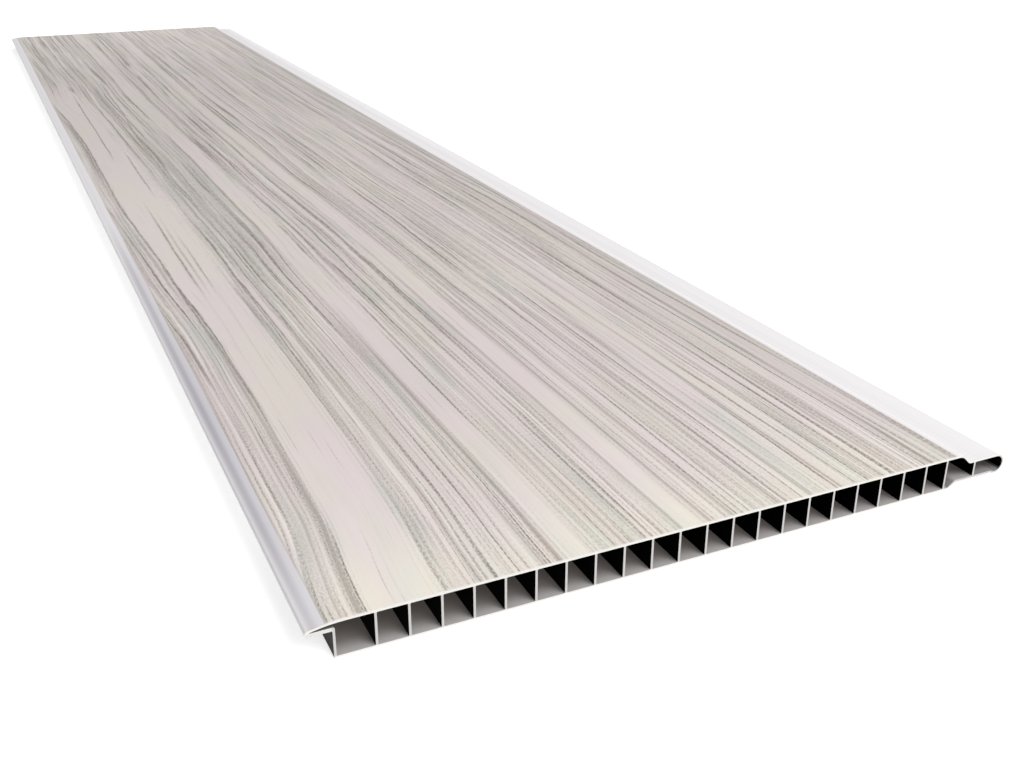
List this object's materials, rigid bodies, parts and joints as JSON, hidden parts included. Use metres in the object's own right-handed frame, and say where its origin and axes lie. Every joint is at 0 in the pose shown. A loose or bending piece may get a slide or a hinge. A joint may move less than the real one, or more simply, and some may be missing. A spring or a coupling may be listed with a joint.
{
  "type": "ceiling panel",
  "caption": "Long hollow plastic ceiling plank with square cells, a snap-in tongue along one edge, a lipped groove along the other and a printed wood-grain face.",
  "frame": {"origin": "middle of the panel's bounding box, on the plane that its back rests on", "axes": "+Y along the extrusion, +X from the groove edge to the tongue edge, +Z out of the printed face"},
  "size_m": [0.206, 1, 0.01],
  "materials": {
    "printed_pvc": "glossy white rigid PVC, with a greige wood-grain film on the face"
  },
  "bodies": {
    "root": {"ceiling_panel": "printed_pvc"}
  },
  "joints": []
}
